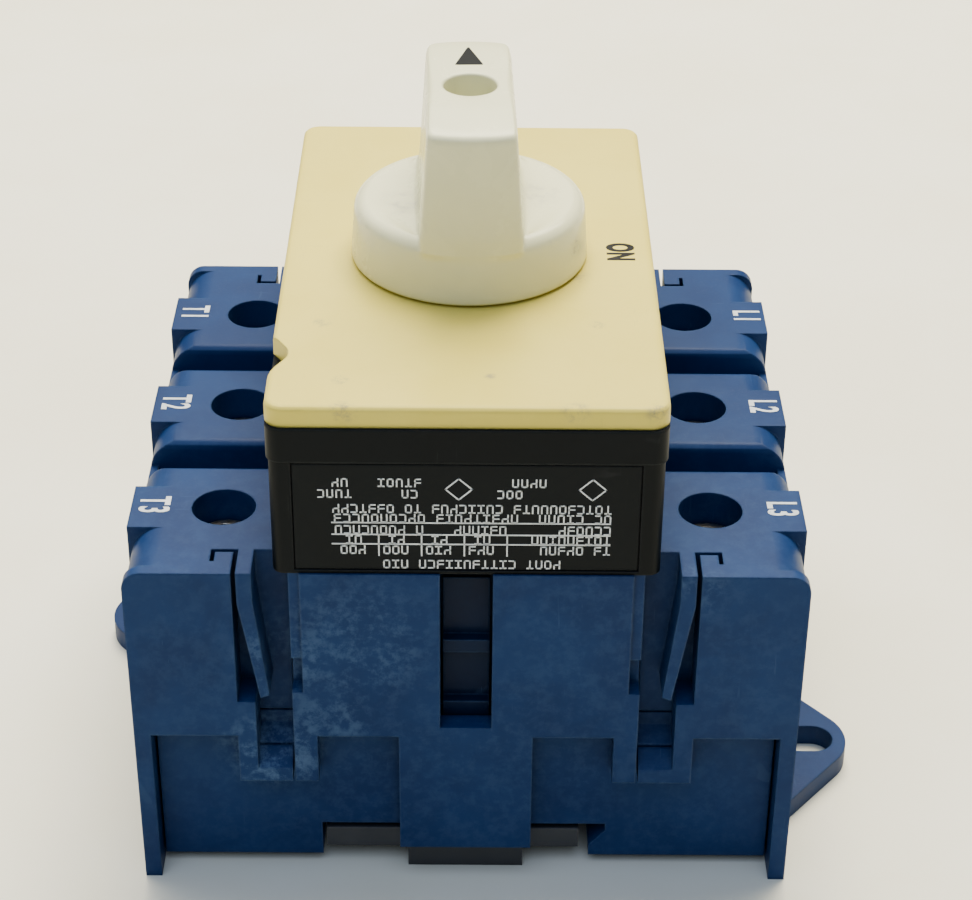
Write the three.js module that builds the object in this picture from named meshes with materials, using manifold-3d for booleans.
// Three-pole rotary load-break switch in a moulded housing, with a front plate
// and a turning handle. Millimetres, +Z up. The origin is the centre of the
// base on its mounting plane; line terminals are at +X and load terminals at -X.
// The upper moulding is parted inside its snap slots into a middle and two terminal
// blocks, and the fixing ears are parted from the base under its side walls, so
// that each piece stays simple.
import * as THREE from "three";
import { mergeVertices } from "three/addons/utils/BufferGeometryUtils.js";
import Module from "manifold-3d";

const wasm = await Module();
wasm.setup();

// ---- Driving dimensions ------------------------------------------------

const BODY = { halfX: 39.6, halfY: 37.5, top: 45.8, edge: 4.0, rim: 2.3, rimDepth: 1.6 };
const BASE = { halfX: 37.3, halfY: 34.7, bottom: 1.4, top: 22.2 };
const POLE_PITCH = 23.66;
const POLES = [POLE_PITCH, 0, -POLE_PITCH];
const SIDES = [{ name: "line", sign: 1 }, { name: "load", sign: -1 }];
const ENDS = [{ name: "near", sign: -1 }, { name: "far", sign: 1 }];
const CLEAR = 0.3;

const TERMINAL_X = 28.95;
const BORE = { radius: 3.83, seat: 38.6, neck: 2.9, ceiling: 36.5 };
const SCREW = { head: 3.45, headTop: 41.7, headBottom: 38.7, shank: 2.5, tip: 27.1, slot: 1.0 };
const CLAMP = { halfX: 4.35, halfY: 6.2, bottom: 14.2, top: 31.5, floor: 16.2, roof: 28.0, mouth: 5.0 };
const CHAMBER = { inner: 24.1, outer: 33.8, halfY: 6.6, bottom: 13.5 };
const ENTRY = { halfY: 5.2, bottom: 15.5, top: 26.2 };
const TONGUE = { bottom: 24.7, top: 26.7, inner: 10.0, outer: 33.6, halfY: 4.5 };
const CONTACT_PAD = { from: 10.5, to: 14.5, halfY: 3.0, height: 0.8 };

const GROOVE = { halfY: 2.55, bottom: 24.0, inner: 21.5, outer: 38.6, notch: 3.4 };
const PAD = { halfY: 4.4, from: 34.0, to: 40.0, bottom: 39.5 };

const SLOT = { inner: 20.6, outer: 27.0, bottom: 27.3, depth: 5.0 };
const NARROW_SLOT = { inner: 20.8, outer: 24.9, floor: 17.3, ledge: 3.2 };
const SLOT_STEP = { inner: 19.2, depth: 0.6, pocketDepth: 2.5, pocketBottom: 28.8, pocketTop: 33.4 };
const U_BLOCK = { inner: 17.7, outer: 27.2, bottom: 15.3 };
const CENTRE_BLOCK = { half: 8.0, bottom: 4.9 };
const FLANGE_INNER = 37.6;
const PARTING = { middle: 20.5, end: 20.8 };
const WINDOW = { half: 3.05, sill: 23.6, back: 33.0 };

const EAR = { x: 43.6, y: -13.5, radius: 6.4, spread: THREE.MathUtils.degToRad(40), root: 36.0 };
const EAR_PLATE = { thick: 3.0, thinUntil: 39.8, thin: 2.8 };
const EAR_SLOT = { from: 42.6, to: 45.7, radius: 2.6 };

const CHANNEL = { left: -17.7, right: 17.3, top: 6.4, noseTip: 15.3, noseLow: 3.0, noseHigh: 5.3 };
const FOOT = { left: -17.2, right: 14.0, bottom: 2.7, top: 5.6, halfY: 34.7 };
const SPINE = { halfX: 7.1, halfY: 35.2, top: 4.6 };

const HOOD = { halfX: 22.2, halfY: 37.2, bottom: 45.8, step: 60.9, top: 65.2, band: 0.25, corner: 1.4 };
const HOOD_SHELL = { wall: 2.0, roof: 2.5 };
const PLATE = { halfX: 22.5, halfY: 37.05, bottom: 65.2, top: 67.75, corner: 2.2, round: 0.7 };
const PLATE_NOTCH = { from: -29.0, to: -21.0, depth: 2.0 };
const LABEL = { halfX: 19.5, bottom: 46.4, top: 60.5, thick: 0.3, recess: 0.4 };

const DIAL = { bottom: 68.05, top: 75.6, radius: 14.4, upper: 14.0, round: 1.5 };
const GRIP = { top: 90.0, near: -14.2, far: 13.4, halfBase: 5.95, halfTop: 5.3, round: 0.9 };
const GRIP_SLOPE = { ridge: -6.4, fall: 0.9 };
const GRIP_CORNER = { far: 2.2, near: 0.8 };
const ARROW = { half: 1.7, base: 5.85, tip: 11.0, sunk: 0.35 };
const HANDLE_SCREW = { head: 2.9, headTop: 79.0, headBottom: 76.6, shank: 1.5, tip: 68.5 };
const HANDLE_BORE = { radius: 3.15, seat: 76.5, neck: 1.8 };

const SHAFT = { half: 3.2, top: 74.0, bottom: 46.9, collar: 5.0, collarFrom: 58.7, collarTo: 66.4 };
const SOCKET_HALF = 3.5;
const BUSH = { inner: 5.3, outer: 7.0, flange: 8.5, bottom: 60.4, shelf: 62.4, top: 65.0 };
const CAM = { inner: 3.2, outer: 12.0, top: 58.2, high: 52.0 };
const STROKE = 5.0;

const ARC_CHAMBER = { half: 21.0, top: 44.3, baseHalf: 12.5, baseFloor: 9.0 };
const BARRIER_HOLLOW = { inner: 8.5, outer: 19.5, half: 3.4, top: 43.0 };
const CARRIER_WAY = { half: 5.0, end: 33.9, pocket: 31.0, pocketFloor: 16.5 };
const CONTACT_SEAT = { inner: 13.5, outer: 19.5, half: 4.0, depth: 4.0 };

const CARRIER = { half: 4.5, barBottom: 36.5, barTop: 42.5, endY: 32.5, frameHalfY: 6.2, frameBottom: 31.4 };
const BRIDGE = { halfX: 15.0, halfY: 3.5, bottom: 33.5, thick: 1.5 };
const BRIDGE_WINDOW = { halfY: 3.9, bottom: 33.3, top: 41.4 };
const FOLLOWER = { y: 9.5, radius: 1.0, top: 51.5 };
const RIBS = [[32.7, 34.5], [22.9, 25.4]];
const RIB = { half: 2.75, front: 34.6, back: 33.2 };

const HOUSING_SCREWS = [[-30, -32], [30, -32], [-30, 32], [30, 32]];
const HOUSING_SCREW = { head: 1.9, headZ: [1.7, 3.1], shank: 1.1, tip: 31.0, hole: 1.3 };
const HOUSING_SINK = { radius: 2.1, top: 3.3 };
const FOOT_SCREWS = [-20, 20];
const FOOT_SCREW = { head: 2.7, headZ: [0.4, 2.2], shank: 1.1, tip: 8.2, hole: 1.3, holeTop: 8.6 };
const HOOD_SCREWS = [[-16.5, -31.0], [16.5, -31.0], [-16.5, 31.0], [16.5, 31.0]];
const HOOD_SCREW = { head: 2.7, headZ: [63.2, 65.0], shank: 1.4, tip: 46.2, hole: 1.7, sink: 3.0, boss: 3.4 };

const BLUE = 0x1f4a86;
const FINISH = {
  blue: { color: BLUE, roughness: 0.45, metalness: 0 },
  black: { color: 0x15181b, roughness: 0.5, metalness: 0 },
  grey: { color: 0x2b2d31, roughness: 0.55, metalness: 0 },
  cream: { color: 0xe2d9a6, roughness: 0.4, metalness: 0 },
  white: { color: 0xe9e9d8, roughness: 0.3, metalness: 0 },
  nylon: { color: 0xd8d4c4, roughness: 0.5, metalness: 0 },
  steel: { color: 0x9a9a96, roughness: 0.3, metalness: 1 },
  copper: { color: 0xb87a4a, roughness: 0.35, metalness: 1 },
};

// ---- Shape helpers -----------------------------------------------------

/** Turns a closed three.js geometry into a solid that can be joined and cut. */
function solid(geometry) {
  const bare = geometry.clone();
  bare.deleteAttribute("normal");
  bare.deleteAttribute("uv");
  const merged = mergeVertices(bare, 1e-4);
  return new wasm.Manifold(new wasm.Mesh({
    numProp: 3,
    vertProperties: Float32Array.from(merged.attributes.position.array),
    triVerts: Uint32Array.from(merged.index.array),
  }));
}

/** Outline in YZ carried across the object between two X places. */
function prismAcross(points, x) {
  const [low, high] = [Math.min(...x), Math.max(...x)];
  const geometry = new THREE.ExtrudeGeometry(polygon(points), { depth: high - low, bevelEnabled: false });
  geometry.rotateX(Math.PI / 2);
  geometry.rotateZ(Math.PI / 2);
  geometry.translate(low, 0, 0);
  return solid(geometry);
}

/** Box from three [low, high] ranges, given in either order. */
function box(x, y, z) {
  const geometry = new THREE.BoxGeometry(
    Math.abs(x[1] - x[0]), Math.abs(y[1] - y[0]), Math.abs(z[1] - z[0]));
  geometry.translate((x[0] + x[1]) / 2, (y[0] + y[1]) / 2, (z[0] + z[1]) / 2);
  return solid(geometry);
}

/** Upright cylinder or cone between two heights. */
function cylinder(x, y, radius, z, segments = 20, topRadius = radius) {
  const geometry = new THREE.CylinderGeometry(topRadius, radius, z[1] - z[0], segments);
  geometry.rotateX(Math.PI / 2);
  geometry.translate(x, y, (z[0] + z[1]) / 2);
  return solid(geometry);
}

/** Flat outline in XY carried upwards between two heights, turned about the origin if asked. */
function plate(shape, z, curveSegments = 6, turn = 0) {
  const depth = z[1] - z[0];
  const geometry = new THREE.ExtrudeGeometry(shape, { depth, bevelEnabled: false, curveSegments });
  geometry.translate(0, 0, z[0]);
  geometry.rotateZ(turn);
  return solid(geometry);
}

/** Outline drawn in XZ and carried along Y between two places. */
function prism(shape, y, curveSegments = 6) {
  const depth = y[1] - y[0];
  const geometry = new THREE.ExtrudeGeometry(shape, { depth, bevelEnabled: false, curveSegments });
  geometry.rotateX(Math.PI / 2);
  geometry.translate(0, y[1], 0);
  return solid(geometry);
}

/** Closed outline through straight corners. */
function polygon(points) {
  return new THREE.Shape(points.map(([x, y]) => new THREE.Vector2(x, y)));
}

/** Rectangle with rounded corners, centred on the axis. */
function roundedRectangle(halfX, halfY, radius) {
  const shape = new THREE.Shape();
  shape.moveTo(halfX - radius, -halfY);
  shape.absarc(halfX - radius, -halfY + radius, radius, -Math.PI / 2, 0);
  shape.absarc(halfX - radius, halfY - radius, radius, 0, Math.PI / 2);
  shape.absarc(-halfX + radius, halfY - radius, radius, Math.PI / 2, Math.PI);
  shape.absarc(-halfX + radius, -halfY + radius, radius, Math.PI, 1.5 * Math.PI);
  return shape;
}

/** Cross-section of the housing with both top edges rounded. */
function archedSection(halfX, bottom, top, radius) {
  const shape = new THREE.Shape();
  shape.moveTo(-halfX, bottom);
  shape.lineTo(halfX, bottom);
  shape.absarc(halfX - radius, top - radius, radius, 0, Math.PI / 2);
  shape.absarc(-halfX + radius, top - radius, radius, Math.PI / 2, Math.PI);
  return shape;
}

/** Range on one side of the middle plane: sign picks the side. */
function side(sign, from, to) {
  return [sign * from, sign * to];
}

/** Range around a centre. */
function around(centre, half) {
  return [centre - half, centre + half];
}

/** Joins a list of solids into one. */
function join(parts) {
  return parts.reduce((whole, part) => whole.add(part));
}

/** Cuts every solid of a list out of another. */
function cut(whole, parts) {
  return parts.reduce((rest, part) => rest.subtract(part), whole);
}

const part = new THREE.Group();

/** Puts a finished solid into the assembly as a named mesh. */
function place(name, shape, finish) {
  const { vertProperties, triVerts } = shape.getMesh();
  const geometry = new THREE.BufferGeometry();
  geometry.setAttribute("position", new THREE.BufferAttribute(Float32Array.from(vertProperties), 3));
  geometry.setIndex(new THREE.BufferAttribute(Uint32Array.from(triVerts), 1));
  geometry.computeVertexNormals();
  const mesh = new THREE.Mesh(geometry, new THREE.MeshStandardMaterial(FINISH[finish]));
  mesh.name = name;
  part.add(mesh);
}

// ---- Housing -----------------------------------------------------------

/** Space for one clamp, its wire entry and the way in for the screwdriver. */
function terminalSpace(sign, y) {
  const x = sign * TERMINAL_X;
  return [
    box(side(sign, CHAMBER.inner, CHAMBER.outer), around(y, CHAMBER.halfY), [BASE.top, BORE.ceiling]),
    cylinder(x, y, BORE.neck, [BORE.ceiling - 1, BORE.seat + 1], 20),
    cylinder(x, y, BORE.radius, [BORE.seat, BODY.top + 1], 28),
    box(side(sign, CHAMBER.outer - 1, PAD.to + 1), around(y, ENTRY.halfY), [ENTRY.bottom, ENTRY.top]),
    box(side(sign, TONGUE.inner, CHAMBER.inner + 1), around(y, TONGUE.halfY + CLEAR),
      [BASE.top, TONGUE.top + CLEAR]),
  ];
}

/** Narrow lower half of a snap slot; its floor is a ledge that falls towards the outside. */
function narrowSlot(sign, end) {
  const [back, face] = [BODY.halfY - SLOT.depth, BODY.halfY];
  const { floor, ledge } = NARROW_SLOT;
  const outline = [[face + 1, floor], [face, floor], [back, floor + ledge],
    [back, SLOT.bottom + 1], [face + 1, SLOT.bottom + 1]].map(([y, z]) => [end * y, z]);
  return prismAcross(outline, side(sign, NARROW_SLOT.inner, NARROW_SLOT.outer));
}

/** Snap slot in a long wall: wide above with a stepped inner edge, narrow below. */
function snapSlot(sign, end) {
  const inwards = (depth) => side(end, BODY.halfY - depth, BODY.halfY + 1);
  const step = side(sign, SLOT_STEP.inner, SLOT.inner + 0.5);
  const { depth, pocketDepth, pocketBottom, pocketTop } = SLOT_STEP;
  return [
    box(side(sign, SLOT.inner, SLOT.outer), inwards(SLOT.depth), [SLOT.bottom, BODY.top + 1]),
    box(step, inwards(depth), [pocketBottom, BODY.top + 1]),
    box(step, inwards(pocketDepth), [pocketBottom, pocketTop]),
    narrowSlot(sign, end),
  ];
}

/** Barrier groove between two poles, its mouth eased by a rounded shoulder on both sides. */
function barrierGroove(sign, y) {
  const shoulder = [[2.55, 1.1], [2.75, 0.5], [3.2, 0.12], [3.7, 0]];
  const half = shoulder.map(([across, drop]) => [across, BODY.top - drop]);
  const outline = [[GROOVE.halfY, GROOVE.bottom], ...half, [3.7, BODY.top + 1]];
  const mirrored = outline.map(([across, z]) => [-across, z]).reverse();
  const points = [...outline, ...mirrored].map(([across, z]) => [y + across, z]);
  return prismAcross(points, side(sign, GROOVE.inner, GROOVE.outer));
}

/** Latch in a snap slot: upright at the top, then leaning in towards the middle. */
function latch(sign, end) {
  const thick = 1.8;
  const outline = [[24.65, BODY.top], [24.65, 42.0], [23.15, 28.3], [23.15 + thick - 0.7, 27.9],
    [24.65 + thick, 41.6], [24.65 + thick, BODY.top]];
  const y = side(end, BODY.halfY - SLOT.depth - 0.5, BODY.halfY - 0.05).sort((a, b) => a - b);
  return prism(polygon(outline.map(([x, z]) => [sign * x, z])), y);
}

/** Curved slit in the top face round the latch root. */
function latchSlit(sign, end) {
  const width = 0.55;
  const reach = BODY.halfY - SLOT.depth;
  const across = box(side(sign, 26.9, 29.6), side(end, reach, reach + width), [BODY.top - 4, BODY.top + 1]);
  const hook = box(side(sign, 29.1, 29.6), side(end, reach, reach + 2.4), [BODY.top - 4, BODY.top + 1]);
  return across.add(hook);
}

/** Parts of a long wall that are cut away so that the base shows behind them. */
function wallOpenings(end) {
  const y = side(end, BASE.halfY, BODY.halfY + 1);
  const cuts = [box([-CENTRE_BLOCK.half, CENTRE_BLOCK.half], y, [-1, CENTRE_BLOCK.bottom])];
  for (const { sign } of SIDES) {
    cuts.push(box(side(sign, U_BLOCK.outer, FLANGE_INNER), y, [-1, BASE.top]));
    cuts.push(box(side(sign, CENTRE_BLOCK.half, U_BLOCK.inner), y, [-1, BASE.top]));
    cuts.push(box(side(sign, U_BLOCK.inner - 1, U_BLOCK.outer + 1), y, [-1, U_BLOCK.bottom]));
  }
  return cuts;
}

/** Whole upper moulding: three poles, barrier grooves, terminal ways and the arc chambers. */
function upperHousing() {
  let body = prism(archedSection(BODY.halfX, 0, BODY.top, BODY.edge), [-BODY.halfY, BODY.halfY], 8);
  for (const { sign: end } of ENDS) {
    const rim = side(end, BODY.halfY - BODY.rimDepth, BODY.halfY).sort((a, b) => a - b);
    body = body.add(prism(archedSection(BODY.halfX, 20, BODY.top, BODY.rim), rim, 6));
  }
  for (const { sign } of SIDES) {
    for (const y of POLES) {
      body = body.add(box(side(sign, PAD.from, PAD.to), around(y, PAD.halfY), [PAD.bottom, BODY.top]));
    }
  }
  const innerX = BASE.halfX + CLEAR;
  const innerY = BASE.halfY + CLEAR;
  const cuts = [
    box([-innerX, innerX], [-innerY, innerY], [-1, BASE.top + CLEAR]),
    box(around(0, CARRIER_WAY.half), around(0, CARRIER_WAY.end), [BASE.top, ARC_CHAMBER.top]),
    cylinder(0, 0, CAM.outer + 0.5, [43, BODY.top + 1], 28),
  ];
  for (const y of POLES) {
    cuts.push(box(around(0, ARC_CHAMBER.half), around(y, CHAMBER.halfY), [BASE.top, ARC_CHAMBER.top]));
  }
  for (const { sign } of SIDES) {
    for (const y of POLES) {
      cuts.push(...terminalSpace(sign, y));
    }
    for (const y of [POLE_PITCH / 2, -POLE_PITCH / 2]) {
      cuts.push(barrierGroove(sign, y));
      cuts.push(box(side(sign, GROOVE.outer - 1, PAD.to + 1), around(y, GROOVE.halfY),
        [BODY.top - GROOVE.notch, BODY.top + 1]));
      cuts.push(box(side(sign, BARRIER_HOLLOW.inner, BARRIER_HOLLOW.outer), around(y, BARRIER_HOLLOW.half),
        [BASE.top, BARRIER_HOLLOW.top]));
    }
    for (const { sign: end } of ENDS) {
      cuts.push(...snapSlot(sign, end), latchSlit(sign, end));
    }
  }
  for (const { sign: end } of ENDS) {
    cuts.push(...wallOpenings(end));
    const across = around(0, WINDOW.half);
    cuts.push(box(across, side(end, WINDOW.back, BODY.halfY + 1), [WINDOW.sill, BODY.top + 1]));
    cuts.push(box(across, side(end, WINDOW.back, innerY), [BASE.top, WINDOW.sill + 1]));
  }
  cuts.push(...earSpaces(CLEAR));
  body = cut(body, cuts);
  for (const { sign } of SIDES) {
    for (const { sign: end } of ENDS) {
      body = body.add(latch(sign, end));
    }
  }
  return cut(body, housingScrewHoles());
}

/** Outline of a fixing ear: a round tip with two straight flanks running back into the base. */
function earShape(grow) {
  const radius = EAR.radius + grow;
  const [sin, cos] = [Math.sin(EAR.spread), Math.cos(EAR.spread)];
  const tip = { x: EAR.x + radius * cos, y: radius * sin };
  const back = tip.y + (tip.x - EAR.root) * (cos / sin);
  const shape = new THREE.Shape();
  shape.moveTo(EAR.root, EAR.y - back);
  shape.lineTo(tip.x, EAR.y - tip.y);
  shape.absarc(EAR.x, EAR.y, radius, -EAR.spread, EAR.spread);
  shape.lineTo(EAR.root, EAR.y + back);
  return shape;
}

/** Fixing ear with its screw slot, thinner where the side wall stands over it. */
function fixingEar(turn) {
  const hole = new THREE.Path();
  hole.absarc(EAR_SLOT.to, EAR.y, EAR_SLOT.radius, -Math.PI / 2, Math.PI / 2);
  hole.absarc(EAR_SLOT.from, EAR.y, EAR_SLOT.radius, Math.PI / 2, 1.5 * Math.PI);
  const shape = earShape(0);
  shape.holes.push(hole);
  const ear = cut(plate(shape, [0, EAR_PLATE.thick], 8), [
    box([EAR.root - 1, FLANGE_INNER], around(EAR.y, BODY.halfY), [-1, EAR_PLATE.thick + 1]),
    box([EAR.root - 1, EAR_PLATE.thinUntil], around(EAR.y, BODY.halfY),
      [EAR_PLATE.thin, EAR_PLATE.thick + 1]),
  ]);
  return ear.rotate([0, 0, turn]);
}

/** Room for the ears to leave through the side walls. */
function earSpaces(clear) {
  return [0, Math.PI].map((turn) => plate(earShape(clear), [-1, EAR_PLATE.thick + clear], 8, turn));
}

/** Blind holes for the screws that hold the two halves together. */
function housingScrewHoles() {
  const depths = [BASE.top - 1, HOUSING_SCREW.tip + 2];
  return HOUSING_SCREWS.map(([x, y]) => cylinder(x, y, HOUSING_SCREW.hole, depths, 12));
}

/** Base: rail channel with its fixed nose, clamp pockets and contact seats. */
function baseHousing() {
  let base = box([-BASE.halfX, BASE.halfX], [-BASE.halfY, BASE.halfY], [BASE.bottom, BASE.top]);
  const channel = polygon([[CHANNEL.left, -1], [CHANNEL.noseTip, -1], [CHANNEL.noseTip, CHANNEL.noseLow],
    [CHANNEL.right, CHANNEL.noseHigh], [CHANNEL.right, CHANNEL.top], [CHANNEL.left, CHANNEL.top]]);
  const cuts = [prism(channel, around(0, BASE.halfY + 1))];
  for (const { sign: end } of ENDS) {
    cuts.push(box(around(0, CARRIER_WAY.half), side(end, CARRIER_WAY.pocket, BASE.halfY + 1),
      [CARRIER_WAY.pocketFloor, BASE.top + 1]));
  }
  for (const y of POLES) {
    cuts.push(box(around(0, ARC_CHAMBER.baseHalf), around(y, CHAMBER.halfY),
      [ARC_CHAMBER.baseFloor, BASE.top + 1]));
  }
  for (const { sign } of SIDES) {
    for (const y of POLES) {
      cuts.push(box(side(sign, CHAMBER.inner, CHAMBER.outer), around(y, CHAMBER.halfY),
        [CHAMBER.bottom, BASE.top + 1]));
      cuts.push(box(side(sign, CHAMBER.outer - 1, BASE.halfX + 1), around(y, ENTRY.halfY),
        [ENTRY.bottom, BASE.top + 1]));
    }
    cuts.push(...ENDS.map(({ sign: end }) => narrowSlot(sign, end)));
  }
  base = cut(base, cuts);
  for (const { sign } of SIDES) {
    for (const y of POLES) {
      base = base.add(box(side(sign, CONTACT_SEAT.inner, CONTACT_SEAT.outer), around(y, CONTACT_SEAT.half),
        [BASE.top - CONTACT_SEAT.depth, TONGUE.bottom]));
    }
  }
  return cut(base, [
    ...HOUSING_SCREWS.flatMap(([x, y]) => [
      cylinder(x, y, HOUSING_SCREW.hole, [BASE.bottom - 1, BASE.top + 1], 12),
      cylinder(x, y, HOUSING_SINK.radius, [BASE.bottom - 1, HOUSING_SINK.top], 16),
    ]),
    ...FOOT_SCREWS.map((y) => cylinder(0, y, FOOT_SCREW.hole, [CHANNEL.top - 1, FOOT_SCREW.holeTop], 12)),
  ]);
}

/** Screw with its head at either end of its shank and a cross recess in the head. */
function screw({ x, y, head, headZ, shank, shankZ, slot, recess }) {
  const headUp = headZ[0] > shankZ[0];
  const face = headUp ? [headZ[1] - recess, headZ[1] + 1] : [headZ[0] - 1, headZ[0] + recess];
  const body = cylinder(x, y, head, headZ, 16).add(cylinder(x, y, shank, shankZ, 12));
  const reach = head * 0.72;
  return cut(body, [
    box(around(x, reach), around(y, slot / 2), face),
    box(around(x, slot / 2), around(y, reach), face),
  ]);
}

/** Dark foot that lies in the rail channel, with a spine that carries the middle of the base. */
function footPlate() {
  const flat = box([FOOT.left, FOOT.right], [-FOOT.halfY, FOOT.halfY], [FOOT.bottom, FOOT.top]);
  const spine = box(around(0, SPINE.halfX), around(0, SPINE.halfY), [0, SPINE.top]);
  return cut(flat.add(spine), FOOT_SCREWS.flatMap((y) => [
    cylinder(0, y, FOOT_SCREW.hole, [-1, FOOT.top + 1], 12),
    cylinder(0, y, FOOT_SCREW.head + 0.4, [-1, FOOT_SCREW.headZ[1] + 0.2], 16),
  ]));
}

// ---- Hood, plate and label ---------------------------------------------

/** Hood over the operating mechanism, with a slightly wider band at the top. */
function hood() {
  const { halfX, halfY, band: lip, corner } = HOOD;
  const lower = plate(roundedRectangle(halfX, halfY, corner), [HOOD.bottom, HOOD.step + 0.5], 5);
  const band = plate(roundedRectangle(halfX + lip, halfY + lip, corner + lip), [HOOD.step, HOOD.top], 5);
  const { wall, roof } = HOOD_SHELL;
  const inside = box(around(0, halfX - wall), around(0, halfY - wall), [HOOD.bottom - 1, HOOD.top - roof]);
  let shell = lower.add(band).subtract(inside);
  for (const [x, y] of HOOD_SCREWS) {
    shell = shell.add(cylinder(x, y, HOOD_SCREW.boss, [HOOD.bottom, HOOD.top - roof + 0.5], 16));
  }
  return cut(shell, [
    box(around(0, LABEL.halfX + 0.15), [-halfY - 1, -halfY + LABEL.recess],
      [LABEL.bottom - 0.15, LABEL.top + 0.15]),
    cylinder(0, 0, BUSH.outer + CLEAR, [BUSH.shelf, HOOD.top + 1], 24),
    ...HOOD_SCREWS.flatMap(([x, y]) => [
      cylinder(x, y, HOOD_SCREW.hole, [HOOD.bottom - 1, HOOD.top + 1], 12),
      cylinder(x, y, HOOD_SCREW.sink, [HOOD_SCREW.headZ[0] - 0.2, HOOD.top + 1], 16),
    ]),
  ]);
}

/** Flat cover plate with a softened top edge and a round-shouldered notch in its load side. */
function frontPlate() {
  const { halfX, halfY, corner, round } = PLATE;
  const shape = roundedRectangle(halfX - round, halfY - round, corner - round);
  const geometry = new THREE.ExtrudeGeometry(shape, {
    depth: PLATE.top - PLATE.bottom - round,
    bevelThickness: round,
    bevelSize: round,
    bevelSegments: 3,
    curveSegments: 5,
  });
  geometry.translate(0, 0, PLATE.bottom);
  const keep = box([-60, 60], [-60, 60], [PLATE.bottom, PLATE.top + 1]);
  const edge = -halfX;
  const inner = edge + PLATE_NOTCH.depth - 0.2;
  const middle = (PLATE_NOTCH.from + PLATE_NOTCH.to) / 2;
  const notch = new THREE.Shape();
  notch.moveTo(edge - 1, PLATE_NOTCH.from - 1);
  notch.lineTo(edge, PLATE_NOTCH.from - 0.6);
  notch.quadraticCurveTo(edge + 0.5, PLATE_NOTCH.from + 0.5, inner, middle - 1.2);
  notch.quadraticCurveTo(inner + 0.5, middle, inner, middle + 1.2);
  notch.lineTo(edge, PLATE_NOTCH.to + 0.2);
  notch.lineTo(edge - 1, PLATE_NOTCH.to + 1);
  return cut(solid(geometry).intersect(keep), [
    plate(notch, [PLATE.bottom - 1, PLATE.top + 1], 5),
    cylinder(0, 0, SHAFT.collar + 0.5, [PLATE.bottom - 1, PLATE.top + 1], 24),
  ]);
}

// ---- Handle ------------------------------------------------------------

/** Section of the grip across its length: narrower and rounded at the top. */
function gripSection() {
  const shape = new THREE.Shape();
  const { halfBase, halfTop, round, top } = GRIP;
  const lean = 0.15;
  shape.moveTo(-halfBase, DIAL.bottom + 2);
  shape.lineTo(halfBase, DIAL.bottom + 2);
  shape.lineTo(halfTop + lean, top - round);
  shape.quadraticCurveTo(halfTop, top, halfTop - round, top);
  shape.lineTo(-halfTop + round, top);
  shape.quadraticCurveTo(-halfTop, top, -halfTop - lean, top - round);
  return shape;
}

/** Plan of the grip: well rounded at the far end, nearly square at the near end. */
function gripPlan() {
  const { far, near } = GRIP_CORNER;
  const half = GRIP.halfBase + 0.1;
  const shape = new THREE.Shape();
  shape.absarc(half - near, GRIP.near + near, near, -Math.PI / 2, 0);
  shape.absarc(half - far, GRIP.far - far, far, 0, Math.PI / 2);
  shape.absarc(-half + far, GRIP.far - far, far, Math.PI / 2, Math.PI);
  shape.absarc(-half + near, GRIP.near + near, near, Math.PI, 1.5 * Math.PI);
  return shape;
}

/** Round dial with a draft and a rounded shoulder. */
function dial() {
  const profile = [new THREE.Vector2(0, DIAL.bottom), new THREE.Vector2(DIAL.radius, DIAL.bottom)];
  for (let step = 0; step <= 4; step += 1) {
    const angle = (step / 4) * (Math.PI / 2);
    profile.push(new THREE.Vector2(
      DIAL.upper - DIAL.round * (1 - Math.cos(angle)), DIAL.top - DIAL.round * (1 - Math.sin(angle))));
  }
  profile.push(new THREE.Vector2(0, DIAL.top - 0.4));
  const geometry = new THREE.LatheGeometry(profile, 48);
  geometry.rotateX(Math.PI / 2);
  return solid(geometry);
}

/** Turning handle: dial and grip in one moulding, bored for its screw and socketed for the shaft. */
function handle() {
  const grip = prism(gripSection(), [GRIP.near, GRIP.far], 5);
  const span = grip.intersect(plate(gripPlan(), [DIAL.bottom, GRIP.top + 1], 4));
  const outer = cylinder(0, 0, DIAL.radius - 0.1, [DIAL.bottom, GRIP.top + 1], 48, DIAL.radius - 1.0);
  const slope = prismAcross([[GRIP.near - 1, GRIP.top - GRIP_SLOPE.fall], [GRIP_SLOPE.ridge, GRIP.top],
    [GRIP_SLOPE.ridge, GRIP.top + 1], [GRIP.near - 1, GRIP.top + 1]], [-GRIP.halfBase, GRIP.halfBase]);
  const underside = cylinder(0, 0, 11.6, [DIAL.bottom - 1, DIAL.bottom + 4.5], 32)
    .subtract(cylinder(0, 0, 6.2, [DIAL.bottom - 2, DIAL.bottom + 5.5], 24));
  return cut(dial().add(span.intersect(outer)), [
    slope,
    underside,
    cylinder(0, 0, HANDLE_BORE.radius, [HANDLE_BORE.seat, GRIP.top + 1], 28),
    cylinder(0, 0, HANDLE_BORE.neck, [SHAFT.top - 1, HANDLE_BORE.seat + 1], 14),
    box(around(0, SOCKET_HALF), around(0, SOCKET_HALF), [DIAL.bottom - 1, SHAFT.top + CLEAR]),
    arrowOutline(0.15, [GRIP.top - ARROW.sunk, GRIP.top + 1]),
  ]);
}

/** Three-cornered pointer on the far end of the grip. */
function arrowOutline(grow, z) {
  const { half, base, tip } = ARROW;
  return plate(polygon([[-half - grow, base - grow], [half + grow, base - grow], [0, tip + 3 * grow]]), z);
}

// ---- Mechanism ---------------------------------------------------------

/** Square shaft with a round bearing collar. */
function driveShaft() {
  const bar = box(around(0, SHAFT.half), around(0, SHAFT.half), [SHAFT.bottom, SHAFT.top]);
  const collar = cylinder(0, 0, SHAFT.collar, [SHAFT.collarFrom, SHAFT.collarTo], 24);
  return bar.add(collar).subtract(cylinder(0, 0, 1.6, [HANDLE_SCREW.tip - 1, SHAFT.top + 1], 12));
}

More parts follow.
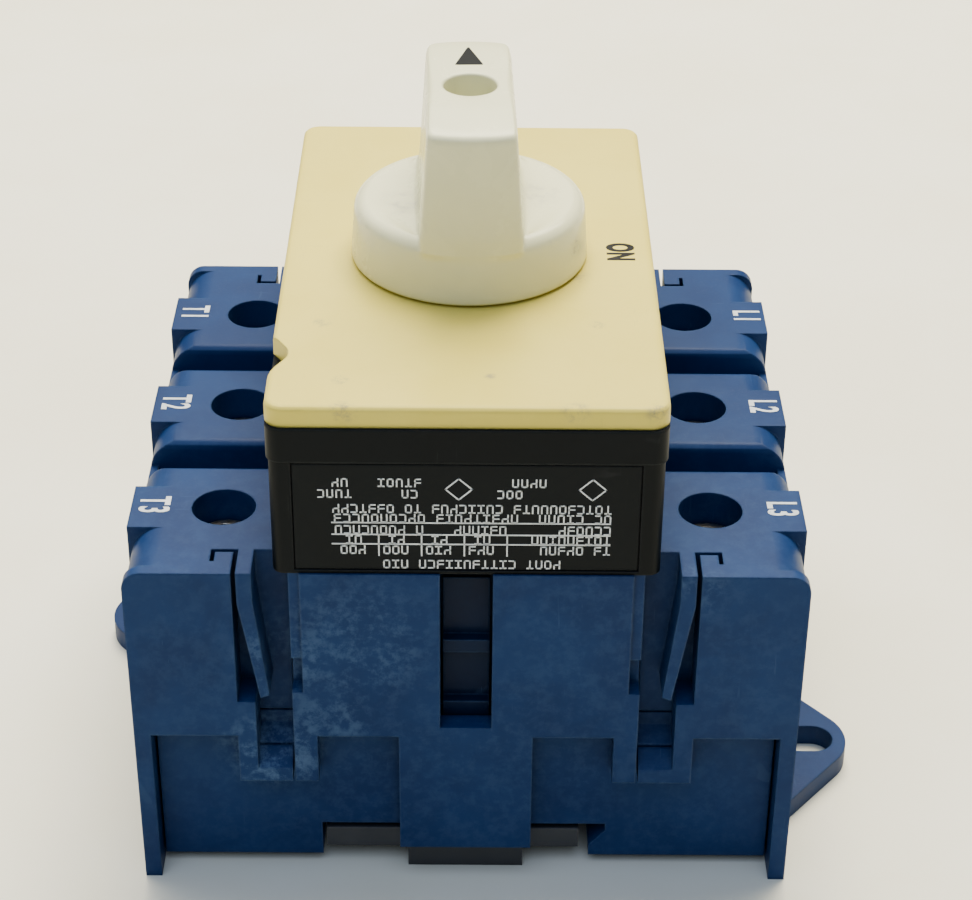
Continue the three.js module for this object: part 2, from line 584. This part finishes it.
/** Flanged bearing bush in the roof of the hood. */
function shaftBush() {
  return cylinder(0, 0, BUSH.flange, [BUSH.bottom, BUSH.shelf], 24)
    .add(cylinder(0, 0, BUSH.outer, [BUSH.shelf - 0.5, BUSH.top], 24))
    .subtract(cylinder(0, 0, BUSH.inner, [BUSH.bottom - 1, BUSH.top + 1], 24));
}

/** Height of the cam's lower face at an angle, in degrees from its first follower. */
function camFace(angle) {
  const margin = 14;
  const turn = THREE.MathUtils.euclideanModulo(angle + margin, 180) - margin;
  const slope = STROKE / 90;
  const low = CAM.high - slope * (90 + margin);
  const high = CAM.high + slope * margin;
  if (turn <= 90 + margin) {
    return CAM.high - slope * turn;
  }
  return low + (high - low) * ((turn - 90 - margin) / (90 - 2 * margin));
}

/** Two-start lifting cam: a ring whose lower face falls by one stroke in a quarter turn. */
function liftCam() {
  const profile = [[CAM.inner, CAM.high], [CAM.outer, CAM.high], [CAM.outer, CAM.top], [CAM.inner, CAM.top],
    [CAM.inner, CAM.high]].map(([r, z]) => new THREE.Vector2(r, z));
  const geometry = new THREE.LatheGeometry(profile, 72);
  geometry.rotateX(Math.PI / 2);
  const position = geometry.attributes.position;
  for (let index = 0; index < position.count; index += 1) {
    if (position.getZ(index) < CAM.high + 0.1) {
      const angle = THREE.MathUtils.radToDeg(Math.atan2(position.getY(index), position.getX(index)));
      position.setZ(index, camFace(angle - 90));
    }
  }
  return solid(geometry).subtract(box(around(0, SOCKET_HALF), around(0, SOCKET_HALF), [40, 60]));
}

/** Contact carrier: one long slide with a window frame for each pole and two followers on top. */
function contactCarrier() {
  const parts = [box(around(0, 3), around(0, CARRIER.endY), [CARRIER.barBottom, CARRIER.barTop])];
  for (const y of POLES) {
    parts.push(box(around(0, CARRIER.half), around(y, CARRIER.frameHalfY),
      [CARRIER.frameBottom, CARRIER.barTop]));
  }
  for (const { sign } of ENDS) {
    const top = CARRIER.barTop;
    parts.push(box(around(0, RIB.half), side(sign, CARRIER.endY - 0.5, RIB.back), [RIBS[1][0], top]));
    for (const z of RIBS) {
      parts.push(box(around(0, RIB.half), side(sign, CARRIER.endY, RIB.front), z));
    }
    parts.push(cylinder(0, sign * FOLLOWER.y, FOLLOWER.radius, [top - 0.5, FOLLOWER.top], 12));
  }
  const windows = POLES.map((y) => box(
    around(0, CARRIER.half + 1), around(y, BRIDGE_WINDOW.halfY), [BRIDGE_WINDOW.bottom, BRIDGE_WINDOW.top]));
  return cut(join(parts), windows);
}

/** Moving contact bar with a pad under each end. */
function bridgeContact(y) {
  const top = BRIDGE.bottom + BRIDGE.thick;
  const parts = [box(around(0, BRIDGE.halfX), around(y, BRIDGE.halfY), [BRIDGE.bottom, top])];
  for (const { sign } of SIDES) {
    parts.push(box(side(sign, CONTACT_PAD.from, CONTACT_PAD.to), around(y, CONTACT_PAD.halfY),
      [BRIDGE.bottom - CONTACT_PAD.height, BRIDGE.bottom + 0.2]));
  }
  return join(parts);
}

/** Outer shape of a coil spring, as a tube. */
function springTube(y, radius, wire, z) {
  return cylinder(0, y, radius, z, 16).subtract(cylinder(0, y, radius - wire, [z[0] - 1, z[1] + 1], 16));
}

/** Fixed terminal bar: wire end under the screw, contact pad at the other. */
function terminalBar(sign, y) {
  const { inner, outer, halfY, bottom, top } = TONGUE;
  const bar = box(side(sign, inner, outer), around(y, halfY), [bottom, top]);
  const pad = box(side(sign, CONTACT_PAD.from, CONTACT_PAD.to), around(y, CONTACT_PAD.halfY),
    [top - 0.2, top + CONTACT_PAD.height]);
  return bar.add(pad);
}

/** Box clamp that rises round the bar as its screw is tightened. */
function clampCage(sign, y) {
  const x = sign * TERMINAL_X;
  const outer = box(around(x, CLAMP.halfX), around(y, CLAMP.halfY), [CLAMP.bottom, CLAMP.top]);
  return cut(outer, [
    box(around(x, CLAMP.halfX + 1), around(y, CLAMP.mouth), [CLAMP.floor, CLAMP.roof]),
    cylinder(x, y, SCREW.shank + 0.2, [CLAMP.roof - 1, CLAMP.top + 1], 16),
  ]);
}

// ---- Assembly ----------------------------------------------------------

place("base_housing", baseHousing(), "blue");
const upper = upperHousing();
const ABOVE = [0, BODY.top + 1];
const middle = box(around(0, PARTING.middle), around(0, BODY.halfY), ABOVE);
place("upper_housing", upper.intersect(middle), "blue");
SIDES.forEach(({ name, sign }, index) => {
  const block = box(side(sign, PARTING.end, PAD.to), around(0, BODY.halfY), ABOVE);
  place(`${name}_terminal_block`, upper.intersect(block), "blue");
  place(`${name}_ear`, fixingEar(180 * index), "blue");
});
place("foot_plate", footPlate(), "grey");
place("hood", hood(), "black");
place("front_plate", frontPlate(), "cream");
const labelBack = LABEL.recess - HOOD.halfY;
place("rating_label",
  box(around(0, LABEL.halfX), [labelBack - LABEL.thick, labelBack], [LABEL.bottom, LABEL.top]), "black");
place("handle", handle(), "white");
place("arrow_marker", arrowOutline(0, [GRIP.top - ARROW.sunk, GRIP.top - 0.02]), "black");
place("handle_screw", screw({
  x: 0, y: 0, head: HANDLE_SCREW.head, headZ: [HANDLE_SCREW.headBottom, HANDLE_SCREW.headTop],
  shank: HANDLE_SCREW.shank, shankZ: [HANDLE_SCREW.tip, HANDLE_SCREW.headTop - 1.2], slot: 0.8, recess: 1.0,
}), "steel");
place("drive_shaft", driveShaft(), "steel");
place("shaft_bush", shaftBush(), "nylon");
place("lift_cam", liftCam(), "nylon");
place("contact_carrier", contactCarrier(), "blue");

for (const { name, sign } of ENDS) {
  place(`return_spring_${name}`,
    springTube(sign * POLE_PITCH / 2, 3.2, 1.0, [BASE.top + 0.1, CARRIER.barBottom - 0.1]), "steel");
}

POLES.forEach((y, index) => {
  const pole = index + 1;
  place(`bridge_contact_${pole}`, bridgeContact(y), "copper");
  place(`contact_spring_${pole}`,
    springTube(y, 2.6, 0.8, [BRIDGE.bottom + BRIDGE.thick + 0.1, BRIDGE_WINDOW.top - 0.1]), "steel");
  for (const { name, sign } of SIDES) {
    place(`${name}_terminal_${pole}`, terminalBar(sign, y), "copper");
    place(`${name}_clamp_${pole}`, clampCage(sign, y), "steel");
    place(`${name}_screw_${pole}`, screw({
      x: sign * TERMINAL_X, y, head: SCREW.head, headZ: [SCREW.headBottom, SCREW.headTop],
      shank: SCREW.shank, shankZ: [SCREW.tip, SCREW.headTop - 1.3], slot: SCREW.slot, recess: 1.1,
    }), "steel");
  }
});

HOUSING_SCREWS.forEach(([x, y], index) => {
  place(`housing_screw_${index + 1}`, screw({
    x, y, head: HOUSING_SCREW.head, headZ: HOUSING_SCREW.headZ, shank: HOUSING_SCREW.shank,
    shankZ: [HOUSING_SCREW.headZ[1] - 0.4, HOUSING_SCREW.tip], slot: 0.6, recess: 0.6,
  }), "steel");
});
FOOT_SCREWS.forEach((y, index) => {
  place(`foot_screw_${index + 1}`, screw({
    x: 0, y, head: FOOT_SCREW.head, headZ: FOOT_SCREW.headZ, shank: FOOT_SCREW.shank,
    shankZ: [FOOT_SCREW.headZ[1] - 0.7, FOOT_SCREW.tip], slot: 0.7, recess: 0.8,
  }), "steel");
});
HOOD_SCREWS.forEach(([x, y], index) => {
  place(`hood_screw_${index + 1}`, screw({
    x, y, head: HOOD_SCREW.head, headZ: HOOD_SCREW.headZ, shank: HOOD_SCREW.shank,
    shankZ: [HOOD_SCREW.tip, HOOD_SCREW.headZ[0] + 0.8], slot: 0.7, recess: 0.8,
  }), "steel");
});

export default part;
